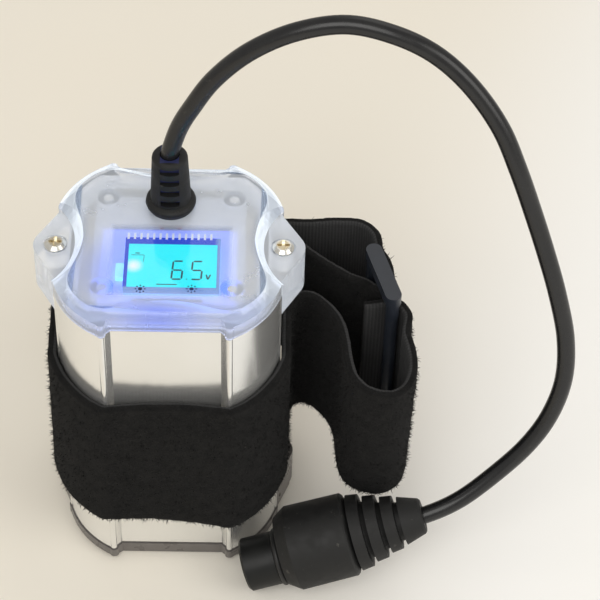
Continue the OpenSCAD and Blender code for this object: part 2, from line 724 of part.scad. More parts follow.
// Moulded strain relief: flange under the cap's top, collar on it, slotted neck above
module strain_relief() {
    neck_r1 = lead_bore_r + 1.6;
    neck_r0 = neck_r1 + 0.5;
    flange_r = gland_hole_r + 0.8;
    flange_z = roof_z - 1.1;
    collar_h = 2.3;
    core = lead_bore_r + 0.5;
    slots = 4;
    slot_w = 3.8;
    slot_h = 1.4;
    slot_pitch = 2.75;
    collar = [for (a = [-60 : 30 : 60]) [gland_collar_r - 0.9 + 0.9 * cos(a), top_z + collar_h / 2 + sin(a)]];
    shoulder = [for (a = [0 : 22.5 : 90]) [neck_r1 - 0.9 + 0.9 * cos(a), gland_z1 - 0.9 + 0.9 * sin(a)]];
    color([0.1, 0.1, 0.1]) difference() {
        translate([0, gland_y, 0]) rotate_extrude() polygon(concat(
            [[lead_bore_r, flange_z], [flange_r, flange_z], [flange_r, roof_z - flush],
                [gland_neck_r, roof_z - flush], [gland_neck_r, top_z + flush],
                [gland_collar_r - 0.45, top_z + flush]],
            collar, [[neck_r0, top_z + collar_h]], shoulder, [[lead_bore_r, gland_z1]]));
        for (k = [0 : slots - 1], side = sides)
            translate([-slot_w / 2, gland_y + (side < 0 ? -core - 4 : core),
                top_z + collar_h + 0.7 + k * slot_pitch]) cube([slot_w, 4, slot_h]);
    }
}

// Two cores of the lead, from its end in the strain relief down to the board
module lead_cores() {
    z = board_z1 + core_r + 0.02;
    for (side = sides) color(side < 0 ? "firebrick" : "black")
        tube(smooth([[side * 0.8, gland_y, lead_start_z - flush], [side * 0.8, gland_y, roof_z],
            [side * 0.8, gland_y, z + 1], [side * 1, gland_y - 0.6, z + 0.2], [side * 1.4, gland_y - 2, z],
            [side * 1.8, gland_y - 4, z]], 2), core_r, 8);
}

module lead() {
    color([0.07, 0.07, 0.07]) tube(smooth(lead_route, 2), lead_r, 10);
}

// Places a part that is drawn along +Z from the tip of the plug's nose
module on_plug() {
    translate(plug_tip) rotate([0, -plug_rise, plug_heading]) rotate([0, 90, 0]) children();
}

// Moulded boot: chamfered body, three stepped rings and a short tail
module plug_boot() {
    tail_r = lead_r + 2;
    ring_pitch_s = 3.5;
    ring_len = 2.5;
    first_s = boot_s1 + 0.8;
    rings = [for (k = [0 : 2]) let (s = first_s + k * ring_pitch_s, r = boot_r - 0.9 - 1.05 * k)
        each [[r - 1.3, s], [r, s + 0.1], [r - 0.35, s + ring_len], [r - 1.9, s + ring_len + 0.1]]];
    tail_s = first_s + 3 * ring_pitch_s;
    color([0.1, 0.1, 0.1]) on_plug() difference() {
        translate([-nose_drop, 0, 0]) rotate_extrude() polygon(concat(
            [[0, boot_s0], [boot_r - 1.7, boot_s0], [boot_r, boot_s0 + 2.6], [boot_r - 0.15, boot_s1 - 0.4],
                [boot_r - 0.5, boot_s1]], rings,
            [[boot_r - 5, tail_s], [boot_r - 3.9, tail_s + 0.1], [tail_r, plug_len - 0.4],
                [tail_r - 0.4, plug_len], [lead_bore_r, plug_len], [lead_bore_r, lead_stop - 0.1],
                [0, lead_stop - 0.1]]));
        translate([0, 0, boot_s0 - cut]) cylinder(h = stem_len + 0.1 - boot_s0 + cut, r = stem_r + 0.05);
    }
}

// Hard insert: nose with a seal groove, a stem inside the boot and the socket
module plug_insert() {
    edge = 0.5;
    groove_r = nose_r - 0.8;
    color([0.06, 0.06, 0.06]) on_plug() difference() {
        rotate_extrude() polygon([[socket_r, edge / 2], [socket_r + edge, 0], [nose_r - edge, 0],
            [nose_r, edge], [nose_r, seal_s - 0.7], [groove_r, seal_s - 0.7], [groove_r, nose_len],
            [stem_r, nose_len], [stem_r, stem_len], [0, stem_len], [0, socket_len], [socket_r, socket_len]]);
        translate([0, 0, socket_len - cut]) cylinder(h = 4, r = contact_r + 0.02);
        translate([socket_r - 0.5, -1.2, 1.5]) cube([1, 2.4, socket_len + 1.5]);
    }
}

module plug_pin() {
    color("goldenrod") on_plug() {
        translate([0, 0, 2]) cylinder(h = socket_len + 0.9, r = contact_r);
        translate([0, 0, 1.5]) cylinder(h = 0.5, r1 = contact_r * 0.6, r2 = contact_r);
    }
}

module plug_leaf() {
    leaf_t = 0.3;
    color("goldenrod") on_plug() translate([socket_r + 0.15, -1, 2]) cube([leaf_t, 2, socket_len + 0.9]);
}

module plug_seal() {
    color([0.03, 0.03, 0.03]) on_plug() translate([0, 0, seal_s]) rotate_extrude()
        translate([nose_r - 0.8 + seal_r + 0.02, 0]) circle(seal_r, $fn = round_fn);
}

module strap_wrap() {
    strap(wrap_first, wrap_last, wrap_lean);
}

module strap_loop() {
    strap(0, wrap_first);
}

module strap_tail() {
    strap(wrap_last, len(strap_line) - 1, tail_lean);
}

// Upright rectangular ring: two round bars joined by rounded short sides
module strap_ring() {
    ends = [ring_bar, ring_front];
    color([0.12, 0.12, 0.13]) {
        for (p = ends) translate([p[0], p[1], ring_z0 - flush])
            cylinder(h = ring_z1 - ring_z0 + 2 * flush, r = ring_bar_r);
        for (z = [ring_z0 - ring_end_t, ring_z1]) translate([0, 0, z]) linear_extrude(ring_end_t) {
            for (p = ends) translate(p) circle(ring_end_r);
            translate((ring_bar + ring_front) / 2) rotate(ring_heading)
                square([ring_pitch, 2 * ring_end_r], center = true);
        }
    }
}

case_extrusion();
top_cap();
bottom_cap();
top_gasket();
bottom_gasket();
top_screws();
bottom_screws();
placed_cell(-1, -1);  // cell_1
placed_cell(-1, 1);  // cell_2
placed_cell(1, -1);  // cell_3
placed_cell(1, 1);  // cell_4
pack_sleeve();
positive_strip();
negative_strip();
series_strip();
insulator_card();
foam_pad();
display_board();
board_parts();
board_screws();
backlight_plate();
backlight_led();
lcd_glass();
lcd_pins();
touch_pad();
strain_relief();
lead_cores();
lead();
plug_boot();
plug_insert();
plug_pin();
plug_leaf();
plug_seal();
strap_wrap();
strap_loop();
strap_tail();
strap_ring();
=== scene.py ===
import math
import random

import bmesh
import bpy
from mathutils import Matrix, Vector
from mathutils.noise import noise


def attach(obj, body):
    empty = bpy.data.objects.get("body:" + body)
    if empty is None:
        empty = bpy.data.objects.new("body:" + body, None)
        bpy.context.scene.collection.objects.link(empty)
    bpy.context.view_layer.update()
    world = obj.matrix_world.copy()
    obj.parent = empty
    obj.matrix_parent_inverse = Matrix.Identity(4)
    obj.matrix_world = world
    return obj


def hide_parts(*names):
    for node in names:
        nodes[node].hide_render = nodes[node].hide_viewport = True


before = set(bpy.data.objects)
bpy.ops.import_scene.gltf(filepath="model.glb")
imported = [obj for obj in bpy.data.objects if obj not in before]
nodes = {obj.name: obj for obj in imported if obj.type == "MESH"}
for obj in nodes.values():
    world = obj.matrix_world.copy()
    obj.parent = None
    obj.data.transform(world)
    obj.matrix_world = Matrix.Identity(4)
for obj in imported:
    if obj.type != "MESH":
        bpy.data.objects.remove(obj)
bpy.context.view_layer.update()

MM = 0.001
random.seed(11)


# Camera: the photo's long lens, looking down at the front of the pack

PHOTO_PX = 600
FOCAL_PX = 2228.65
SENSOR_MM = 36
CLIP_START = 0.01
YAW, PITCH, ROLL = -0.0251, 0.8229, 0.0342
TO_CAMERA_MM = Vector((-27.846, 39.774, 500.226))


def add_camera():
    """The camera that was fitted to the photo."""
    down, ahead = math.sin(PITCH), math.cos(PITCH)
    dip = Matrix(((1, 0, 0), (0, -down, -ahead), (0, ahead, -down)))
    view = Matrix.Rotation(ROLL, 3, "Z") @ dip @ Matrix.Rotation(-YAW, 3, "Z")
    place = view.transposed()
    camera = bpy.data.objects.new("camera", bpy.data.cameras.new("camera"))
    camera.data.sensor_width = SENSOR_MM
    camera.data.lens = SENSOR_MM * FOCAL_PX / PHOTO_PX
    camera.data.clip_start = CLIP_START
    turned = place @ Matrix.Diagonal((1, -1, -1))
    camera.matrix_world = Matrix.Translation(place @ -TO_CAMERA_MM * MM) @ turned.to_4x4()
    bpy.context.scene.collection.objects.link(camera)
    bpy.context.scene.camera = camera


add_camera()


# Meshes


def new_mesh(name, points_mm, faces, uvs=None, smooth=True, uv_name="along_across"):
    """A mesh object from points in millimetres, with one UV for each point."""
    mesh = bpy.data.meshes.new(name)
    mesh.from_pydata([Vector(p) * MM for p in points_mm], [], faces)
    if uvs:
        layer = mesh.uv_layers.new(name=uv_name)
        for loop in mesh.loops:
            layer.data[loop.index].uv = uvs[loop.vertex_index]
    mesh.polygons.foreach_set("use_smooth", [smooth] * len(faces))
    mesh.update()
    piece = bpy.data.objects.new(name, mesh)
    bpy.context.scene.collection.objects.link(piece)
    return piece


def spline(points, steps):
    """A smooth curve through the points."""
    last = len(points) - 1
    curve = []
    for i in range(last):
        a, b = points[max(i - 1, 0)], points[i]
        c, d = points[i + 1], points[min(i + 2, last)]
        for k in range(steps):
            t = k / steps
            curve.append(0.5 * (2 * b + (c - a) * t + (2 * a - 5 * b + 4 * c - d) * t**2
                                + (3 * b - a - 3 * c + d) * t**3))
    return curve + [points[last]]


def lengths(curve):
    """Distance along the curve at each of its points."""
    run = [0.0]
    for a, b in zip(curve, curve[1:]):
        run.append(run[-1] + (b - a).length)
    return run


def even(curve, step):
    """The same curve with points about one step apart."""
    run = lengths(curve)
    count = max(2, round(run[-1] / step))
    result, i = [], 0
    for k in range(count + 1):
        at = run[-1] * k / count
        while i < len(run) - 2 and run[i + 1] < at:
            i += 1
        t = (at - run[i]) / (run[i + 1] - run[i])
        result.append(curve[i].lerp(curve[i + 1], t))
    return result


def heading(curve, i):
    """Direction of the curve at one of its points."""
    return (curve[min(i + 1, len(curve) - 1)] - curve[max(i - 1, 0)]).normalized()


# Lead: the route of the CAD solid, from inside the strain relief to inside the plug

LEAD_D = 3.7
LEAD_SIDES = 24
LEAD_PARTS, LEAD_STEP = 8, 1.2
LEAD_ROUTE = [Vector(p) for p in (
    (0, 9.6, 82.6), (0, 9.6, 87), (0, 9.6, 90.5), (0.4, 9.6, 92.5), (2, 10, 97.5), (4.4, 10, 102.5),
    (8.8, 10, 110), (15.5, 9.5, 117.5), (24, 9, 123), (33.5, 8.5, 125.5), (42.5, 7, 124.5),
    (50.5, 5.5, 121), (57.5, 3.5, 115), (63.5, 1, 107), (67.5, -1.5, 98.5), (71, -3.5, 89.5),
    (74.5, -6, 80), (77.5, -8.5, 71), (80, -11, 61), (80.5, -13.5, 51.5), (78.5, -15.5, 42.5),
    (74.5, -17.5, 35), (68.5, -19.5, 28), (61, -22, 21.7), (53.52, -23.73, 18.28),
    (45.11, -24.68, 15.85),
)]


def add_lead():
    """One smooth tube, which is a cord with the plug on its end."""
    path = even(spline(LEAD_ROUTE, LEAD_PARTS), LEAD_STEP)
    run = lengths(path)
    side = Vector((1, 0, 0))
    points, uvs, faces = [], [], []
    for i, p in enumerate(path):
        along = heading(path, i)
        side = (side - along * side.dot(along)).normalized()
        other = along.cross(side)
        for k in range(LEAD_SIDES):
            turn = math.tau * k / LEAD_SIDES
            points.append(p + LEAD_D / 2 * (side * math.cos(turn) + other * math.sin(turn)))
            uvs.append((run[i] * MM, k / LEAD_SIDES))
    for i in range(len(path) - 1):
        for k in range(LEAD_SIDES):
            a, b = i * LEAD_SIDES + k, i * LEAD_SIDES + (k + 1) % LEAD_SIDES
            faces.append((a, b, b + LEAD_SIDES, a + LEAD_SIDES))
    tail = (len(path) - 1) * LEAD_SIDES
    faces += [tuple(reversed(range(LEAD_SIDES))), tuple(range(tail, tail + LEAD_SIDES))]
    piece = new_mesh("lead_jacket", points, faces, uvs)
    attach(piece, "pack")
    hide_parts("lead")
    return piece


lead = add_lead()


# Strap: one length of hook-and-loop tape on edge, along the middle line of the CAD solids

STRAP_W, STRAP_T = 34.5, 1.8
LOBE_C = Vector((3.952, 5.256))
FRONT_BEAD, SIDE_BEAD = Vector((12.486, 21.842)), Vector((21.935, 10.208))
BEND_R, FRONT_DIP = 1.95, 0.9
BEND_LAP = 0.06
BEAD_PARTS, LOBE_PARTS, FRONT_PARTS, STRAP_PARTS = 6, 20, 16, 12
WRAP_X, WRAP_Y = SIDE_BEAD.x + BEND_R, FRONT_BEAD.y + BEND_R
# Height of the upper edge at the front, and its rise towards the back
EDGE_FRONT, EDGE_RISE = 52, 6.2
# How far the lower edge leans, for each millimetre in front of the case's middle
WRAP_LEAN, WRAP_LEAN_ACROSS = Vector((-0.03, -0.075)), Vector((0.001, -0.003))
TAIL_LEAN = Vector((-0.05, 0.1))
# The ring's bar in the sewn loop, the way to its front bar, and the tape's middle from a bar's middle
RING_BAR = Vector((WRAP_X + 18.1, WRAP_Y - 10.1))
RING_TURN = math.radians(-74)
RING_DIR = Vector((math.cos(RING_TURN), math.sin(RING_TURN)))
RING_SIDE = Vector((-RING_DIR.y, RING_DIR.x))
RING_SPAN = 13.3
RING_FRONT = RING_BAR + RING_SPAN * RING_DIR
BAR_MID = 2.75
FLAP_GAP = 0.3
FLAP_Y = WRAP_Y - STRAP_T - FLAP_GAP


def corner(x, y):
    """A point of the plan, from the strap's back corner on the ring's side."""
    return Vector((WRAP_X + x, WRAP_Y + y))


def beside(x, y):
    """A point of the plan, with x from the strap's side run."""
    return Vector((WRAP_X + x, y))


def at_bar(along, across):
    """A point of the plan, from the ring's bar in the sewn loop."""
    return RING_BAR + along * RING_DIR + across * RING_SIDE


def at_front(along, across):
    """A point of the plan, from the ring's front bar."""
    return RING_FRONT + along * RING_DIR + across * RING_SIDE


def arc(centre, r0, r1, a0, a1, count):
    """Points along an arc whose radius and angle run evenly."""
    points = []
    for k in range(count + 1):
        t = k / count
        turn = a0 + (a1 - a0) * t
        points.append(centre + (r0 + (r1 - r0) * t) * Vector((math.cos(turn), math.sin(turn))))
    return points


def quarter(sx, sy):
    """The strap round the two ridges and the lobe of a quarter, from front or back to the side."""
    to_front, to_side = FRONT_BEAD - LOBE_C, SIDE_BEAD - LOBE_C
    a0, a1 = math.atan2(to_front.y, to_front.x), math.atan2(to_side.y, to_side.x)
    bend = arc(FRONT_BEAD, BEND_R, BEND_R, math.pi / 2, a0, BEAD_PARTS)
    bend += arc(LOBE_C, to_front.length + BEND_R, to_side.length + BEND_R,
                a0 - BEND_LAP, a1 + BEND_LAP, LOBE_PARTS)
    bend += arc(SIDE_BEAD, BEND_R, BEND_R, a1, 0, BEAD_PARTS)
    return [Vector((sx * p.x, sy * p.y)) for p in bend]


LOOP_PLAN = [
    Vector((WRAP_X - 7.45, FLAP_Y)), Vector((WRAP_X - 4.45, FLAP_Y - 0.3)), corner(0.4, -4.2),
    corner(4.3, -7.4), corner(7.3, -9.8), corner(10.3, -12.1), corner(13.4, -14), corner(16.5, -15.4),
    at_bar(7.6, -0.4), at_bar(7, 1.4), at_bar(4, BAR_MID - 0.3), at_bar(0.5, BAR_MID),
    at_bar(-2.6, BAR_MID - 0.6), corner(19.2, -5), corner(18.6, -2.6), corner(17, -0.7),
    corner(14.5, 0.4), corner(10.6, 0.45), corner(5.1, 0),
]
FRONT_RUN = []
for k in range(1 - FRONT_PARTS, FRONT_PARTS):
    share = k / FRONT_PARTS
    FRONT_RUN.append(Vector((share * FRONT_BEAD.x, FRONT_DIP * (1 - share**2) - WRAP_Y)))
WRAP_PLAN = [Vector((FRONT_BEAD.x, WRAP_Y))] + quarter(-1, 1) + quarter(-1, -1)[::-1] + FRONT_RUN
WRAP_PLAN += quarter(1, -1) + [beside(0, -4)]
TAIL_PLAN = [
    beside(0, 0), beside(0.3, 2.4), beside(1.6, 4.4), beside(3.55, 5.2), beside(5.55, 4.8),
    beside(7.45, 3.4), beside(9.05, 1.6), beside(10.55, -0.7), beside(11.55, -3.5), beside(12.15, -7),
    beside(12.65, -11), beside(13.75, -15), beside(15.95, -17.7), beside(18.95, -19),
    beside(22.05, -18.9), beside(24.35, -17.1), beside(25.65, -14), beside(25.85, -10.5),
    beside(25.35, -7.3), beside(24.65, -4), at_front(2, BAR_MID + 0.2), at_front(0, BAR_MID),
    at_front(-1.9, BAR_MID - 0.8), at_front(-BAR_MID, 0), at_front(-BAR_MID - 0.2, -2.5),
    at_front(-BAR_MID - 0.5, -5),
]
STRAP_STEP = 0.6
STRAP_ROWS = 48
EDGE_INSET, EDGE_HALF = 0.25, 0.45
UPPER_SEED, LOWER_SEED = 1, 7
# Height, waves in a millimetre and layer of each noise on the tape's edges and on its faces
EDGE_NOISE = ((0.22, 0.16, 0), (0.16, 0.9, 5))
PILE_NOISE = ((0.1, 0.35, 9), (0.07, 1.1, 4))
LOOP_LINE, TAIL_LINE = spline(LOOP_PLAN, STRAP_PARTS), spline(TAIL_PLAN, STRAP_PARTS)
STRAP_LINE = even(LOOP_LINE + WRAP_PLAN + TAIL_LINE, STRAP_STEP)
STRAP_RUN = lengths(STRAP_LINE)
WRAP_FROM = lengths(LOOP_LINE)[-1]
TAIL_FROM = lengths(LOOP_LINE + WRAP_PLAN)[-1]


def on_strap(i, across, lift):
    """A point of the strap: at step i, so far below the upper edge and out from the tape's middle."""
    p = STRAP_LINE[i]
    along = heading(STRAP_LINE, i)
    out = Vector((along.y, -along.x))
    lean = Vector((0, 0))
    if STRAP_RUN[i] > TAIL_FROM:
        lean = TAIL_LEAN * max(0, -p.y)
    elif STRAP_RUN[i] > WRAP_FROM:
        lean = (WRAP_LEAN + WRAP_LEAN_ACROSS * p.x) * max(0, -p.y)
    flat = p + out * lift + lean * across / STRAP_W
    edge = EDGE_FRONT + EDGE_RISE * (p.y + WRAP_Y) / (2 * WRAP_Y)
    return Vector((flat.x, flat.y, edge - across))


def ragged(i, seed):
    """How far the edge of the tape wanders at step i."""
    s = STRAP_RUN[i]
    return sum(height * noise((s * rate, seed, layer)) for height, rate, layer in EDGE_NOISE)


def pile_lift(i, across, side):
    """How far the pile stands out at a spot of one face."""
    s = STRAP_RUN[i]
    return sum(height * noise((s * rate, across * rate, side * layer))
               for height, rate, layer in PILE_NOISE)


def add_strap():
    """The whole tape, with pile on both faces and uneven edges."""
    half = STRAP_T / 2
    face_w = STRAP_W - 2 * EDGE_INSET
    rows = [EDGE_INSET + face_w * k / STRAP_ROWS for k in range(STRAP_ROWS + 1)]
    ring = [(a, half) for a in rows] + [(STRAP_W, EDGE_HALF), (STRAP_W, -EDGE_HALF)]
    ring += [(a, -half) for a in reversed(rows)] + [(0, -EDGE_HALF), (0, EDGE_HALF)]
    points, uvs, faces = [], [], []
    for i in range(len(STRAP_LINE)):
        top, low = ragged(i, UPPER_SEED), ragged(i, LOWER_SEED)
        for across, lift in ring:
            share = across / STRAP_W
            side = 1 if lift > 0 else -1
            on_face = abs(lift) == half
            bulge = pile_lift(i, across, side) if on_face else 0
            wander = top * (1 - share) + low * share
            points.append(on_strap(i, across + wander, lift + side * bulge))
            v = across if side > 0 else across + 2 * STRAP_W
            uvs.append((STRAP_RUN[i] * MM, v * MM))
    n = len(ring)
    for i in range(len(STRAP_LINE) - 1):
        for k in range(n):
            a, b = i * n + k, i * n + (k + 1) % n
            faces.append((a, a + n, b + n, b))
    last = (len(STRAP_LINE) - 1) * n
    faces += [tuple(range(n)), tuple(reversed(range(last, last + n)))]
    piece = new_mesh("strap_tape", points, faces, uvs)
    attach(piece, "pack")
    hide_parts("strap_wrap", "strap_loop", "strap_tail")
    return piece


FUZZ_COUNT = 18000
FUZZ_ON_FACE = 0.8
FUZZ_CELLS = math.ceil(math.sqrt(FUZZ_COUNT))
FUZZ_TALL, FUZZ_WIDE = (0.45, 1.05), (0.055, 0.09)
FUZZ_RINGS = ((0, 1), (0.55, 0.8))
FUZZ_SIDES = 3
FUZZ_CURL, FUZZ_SWAY, FUZZ_TILT = 0.45, 0.9, 0.6
CELL_HALF, CELL_TAPER = 0.45, 0.35
# Roots on the face: off the edges, and depth. On the lower edge: depth, share of the thickness, lean
FACE_MARGIN, FACE_ROOT = 0.3, 0.15
LOWER_ROOT, LOWER_SHARE, LOWER_LEAN = 0.1, (-0.1, 0.85), (-0.1, 0.8)


def add_fuzz():
    """Short curled fibres out of the pile: most on the outer face, the rest on the lower edge."""
    points, uvs, faces = [], [], []
    last, n = len(STRAP_LINE) - 1, FUZZ_SIDES
    for fibre in range(FUZZ_COUNT):
        i = random.randrange(1, last)
        along = heading(STRAP_LINE, i)
        ahead = Vector((along.x, along.y, 0))
        out = Vector((along.y, -along.x, 0))
        if random.random() < FUZZ_ON_FACE:
            across = random.uniform(FACE_MARGIN, STRAP_W - FACE_MARGIN)
            root = on_strap(i, across, STRAP_T / 2 - FACE_ROOT)
            aim = out
        else:
            root = on_strap(i, STRAP_W - LOWER_ROOT, random.uniform(*LOWER_SHARE) * STRAP_T / 2)
            aim = Vector((0, 0, -1)) + out * random.uniform(*LOWER_LEAN)
        aim = aim + ahead * random.uniform(-FUZZ_SWAY, FUZZ_SWAY)
        aim = (aim + Vector((0, 0, random.uniform(-FUZZ_TILT, FUZZ_TILT)))).normalized()
        curl = Vector([random.uniform(-FUZZ_CURL, FUZZ_CURL) for _ in range(3)])
        tall = random.uniform(*FUZZ_TALL)
        wide = random.uniform(*FUZZ_WIDE)
        u = aim.orthogonal().normalized()
        v = aim.cross(u)
        base = len(points)
        cell = Vector((fibre % FUZZ_CELLS + 0.5, fibre // FUZZ_CELLS + 0.5)) / FUZZ_CELLS
        for rise, width in FUZZ_RINGS:
            centre = root + aim * tall * rise + curl * rise**2 * tall
            spread = (CELL_HALF - CELL_TAPER * rise) / FUZZ_CELLS
            for turn in range(n):
                a = math.tau * turn / n
                points.append(centre + wide * width * (u * math.cos(a) + v * math.sin(a)))
                uvs.append(cell + spread * Vector((math.cos(a), math.sin(a))))
        points.append(root + (aim + curl) * tall)
        uvs.append(cell)
        faces.append(tuple(range(base + n - 1, base - 1, -1)))
        for turn in range(n):
            a, b = base + turn, base + (turn + 1) % n
            faces += [(a, b, b + n, a + n), (a + n, b + n, base + 2 * n)]
    piece = new_mesh("strap_fuzz", points, faces, uvs, uv_name="OFBake")
    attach(piece, "pack")
    return piece


STITCH_LEN, STITCH_GAP, STITCH_R = 2.2, 1.0, 0.26
STITCH_SIDES = 6
STITCH_RINGS = ((0, 0.5, 0.24), (0.18, 1, 0.06), (0.82, 1, 0.06), (1, 0.5, 0.24))
SEW_FROM, SEW_TO, SEW_INSET = 5.4, 11.4, 2.4


def strap_spot(s, across, lift):
    """A point of the strap at the distance s from its sewn end."""
    i = next(k for k, run in enumerate(STRAP_RUN) if run > s)
    share = (s - STRAP_RUN[i - 1]) / (STRAP_RUN[i] - STRAP_RUN[i - 1])
    return on_strap(i - 1, across, lift).lerp(on_strap(i, across, lift), share)


def thread(points, faces, a, b):
    """Adds one stitch: a short thread that dips into the tape at both ends."""
    along = (b - a).normalized()
    side = Vector((0, 1, 0))
    other = along.cross(side)
    base, n = len(points), STITCH_SIDES
    for share, width, sink in STITCH_RINGS:
        for k in range(n):
            turn = math.tau * k / n
            rim = STITCH_R * width * (side * math.sin(turn) + other * math.cos(turn))
            points.append(a.lerp(b, share) - side * sink + rim)
    for ring in range(3):
        for k in range(n):
            c, d = base + ring * n + k, base + ring * n + (k + 1) % n
            faces.append((c, d, d + n, c + n))
    faces += [tuple(range(base + n - 1, base - 1, -1)), tuple(range(base + 3 * n, base + 4 * n))]


def add_stitches():
    """The seam of the loop's end, behind the case: a box with a cross on the wrap's outer face."""
    low, high = SEW_INSET, STRAP_W - SEW_INSET
    box = [(SEW_FROM, low), (SEW_TO, low), (SEW_TO, high), (SEW_FROM, high)]
    seams = [(box[k], box[(k + 1) % 4]) for k in range(4)] + [(box[0], box[2]), (box[1], box[3])]
    share = STITCH_LEN / (STITCH_LEN + STITCH_GAP)
    points, faces = [], []
    for (s0, a0), (s1, a1) in seams:
        count = round(math.hypot(s1 - s0, a1 - a0) / (STITCH_LEN + STITCH_GAP))
        for k in range(count):
            spots = []
            for half in (-0.5, 0.5):
                t = (k + 0.5 + half * share) / count
                along, across = s0 + (s1 - s0) * t, a0 + (a1 - a0) * t
                spots.append(strap_spot(WRAP_FROM + along, across, STRAP_T / 2))
            thread(points, faces, *spots)
    piece = new_mesh("strap_stitches", points, faces)
    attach(piece, "pack")
    return piece


strap = add_strap()
fuzz = add_fuzz()
stitches = add_stitches()


# Display: the dark segments that stand on the glass, and the two switch marks on the cap

GLASS_TOP = 74.7
SEGMENT_T = 0.05
CAP_TOP = 76.7
DIGITS = {"6": "afgecd", "5": "afgcd"}
DIGIT_W, DIGIT_H, SEGMENT_W, SLANT = 2.0, 4.9, 0.36, 0.06
SEGMENT_GAP = 0.3
READING, READING_Y = (("6", 0.75), ("5", 4.6)), -10.15
# Ends, width and place of each other stroke: unit, point, battery sign with its box, line below
STROKES = (
    ((0, 1.5), (0.45, 0), 0.3, (7.5, -10.2)),
    ((0.9, 1.5), (0.45, 0), 0.3, (7.5, -10.2)),
    ((0, 0), (0.35, 0), 0.3, (3.6, READING_Y)),
    ((0, 0), (1.1, 0), 0.22, (-6.7, -3.2)),
    ((0, 0), (2.6, 0), 0.1, (-7.4, -3.7)),
    ((2.6, 0), (2.6, -1.9), 0.1, (-7.4, -3.7)),
    ((0, 0), (4.2, 0), 0.2, (-2.2, -11.6)),
)
MARKS = (Vector((-5.1, -14.0)), Vector((4.9, -13.8)))
MARK_Z, MARK_T = CAP_TOP + 0.005, 0.03
MARK_R, MARK_SIDES = 0.42, 20
RAYS, RAY_FROM, RAY_TO, RAY_W = 8, 0.6, 1.2, 0.26


def slab(points, faces, outline, z, height):
    """Adds a flat plate with that outline to a mesh."""
    base, n = len(points), len(outline)
    points += [Vector((x, y, z)) for x, y in outline] + [Vector((x, y, z + height)) for x, y in outline]
    faces += [tuple(range(base + n - 1, base - 1, -1)), tuple(range(base + n, base + 2 * n))]
    for k in range(n):
        m = (k + 1) % n
        faces.append((base + k, base + m, base + n + m, base + n + k))


def bar(a, b, width):
    """Outline of a segment with pointed ends."""
    a, b = Vector(a), Vector(b)
    along = (b - a).normalized()
    side = Vector((-along.y, along.x)) * width / 2
    a, b = a + along * width * SEGMENT_GAP, b - along * width * SEGMENT_GAP
    tip = along * width / 2
    return [a, a + tip - side, b - tip - side, b, b - tip + side, a + tip + side]


def add_segments():
    """The reading and its small signs, as thin dark plates on the glass."""
    points, faces = [], []
    w, h = DIGIT_W, DIGIT_H
    ends = {
        "a": ((0, h), (w, h)), "c": ((w, h / 2), (w, 0)), "d": ((0, 0), (w, 0)),
        "e": ((0, h / 2), (0, 0)), "f": ((0, h), (0, h / 2)), "g": ((0, h / 2), (w, h / 2)),
    }

    def put(outline, x, y):
        slanted = [(x + p.x + SLANT * p.y, y + p.y) for p in outline]
        slab(points, faces, slanted, GLASS_TOP, SEGMENT_T)

    for digit, x in READING:
        for name in DIGITS[digit]:
            put(bar(*ends[name], SEGMENT_W), x, READING_Y)
    for start, end, width, spot in STROKES:
        put(bar(start, end, width), *spot)
    piece = new_mesh("lcd_segments", points, faces, smooth=False)
    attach(piece, "pack")
    return piece


def add_switch_marks():
    """Two small suns printed on the cap in front of the display's window: a disc with rays each."""
    points, faces = [], []
    for mark in MARKS:
        turns = [math.tau * k / MARK_SIDES for k in range(MARK_SIDES)]
        disc = [(mark.x + MARK_R * math.cos(a), mark.y + MARK_R * math.sin(a)) for a in turns]
        slab(points, faces, disc, MARK_Z, MARK_T)
        for k in range(RAYS):
            way = Vector((math.cos(math.tau * k / RAYS), math.sin(math.tau * k / RAYS)))
            ray = bar(mark + way * RAY_FROM, mark + way * RAY_TO, RAY_W)
            slab(points, faces, [(p.x, p.y) for p in ray], MARK_Z, MARK_T)
    piece = new_mesh("switch_marks", points, faces, smooth=False)
    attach(piece, "pack")
    return piece


segments = add_segments()
marks = add_switch_marks()


# Upper cap: the CAD cap with a rounder plateau. Its edge has arcs over the lobes, a slight hollow at the
# front and the back, and hollows beside the screws, all run into each other

PLATEAU_R = 17.4
PANEL_Y, PANEL_R = 17.0, 21.4
HOLLOW_X, HOLLOW_R = 34.06, 16.74
PLATEAU_BLEND = 7.2
RELIEF = Vector((0, 9.6))
RELIEF_R = 4.5
RIM_STEP = 0.8
BEVEL_FROM, BEVEL_TO, BEVEL_OUT = 0.02, 1.45, 0.7
CAP_CREASE = math.radians(24)
MERGE, LEVEL, FLAT_Z = 0.001, 0.01, 0.999
SLOPE_STEP, EDGE_TRIES = 0.01, 12


def soft_min(a, b):
    """The lesser of two depths, rounded where they are close."""
    near = max(PLATEAU_BLEND - abs(a - b), 0) / PLATEAU_BLEND
    return min(a, b) - near**3 * PLATEAU_BLEND / 6


def plateau_depth(p):
    """How far a point of the plan lies inside the edge of the plateau, in millimetres."""
    x, y = abs(p.x), abs(p.y)
    lobe = PLATEAU_R - math.hypot(x - LOBE_C.x, y - LOBE_C.y)
    panel = math.hypot(x, y - PANEL_Y - PANEL_R) - PANEL_R
    hollow = math.hypot(x - HOLLOW_X, y) - HOLLOW_R
    return soft_min(soft_min(lobe, panel), hollow)


def to_plateau_edge(p, out):
    """The point near p of the plan that lies so far outside the plateau's edge."""
    for _ in range(EDGE_TRIES):
        depth = plateau_depth(p)
        steps = [plateau_depth(p + Vector(way) * SLOPE_STEP) - depth for way in ((1, 0), (0, 1))]
        slope = Vector(steps) / SLOPE_STEP
        p = p - slope * (depth + out) / slope.length_squared
    return p


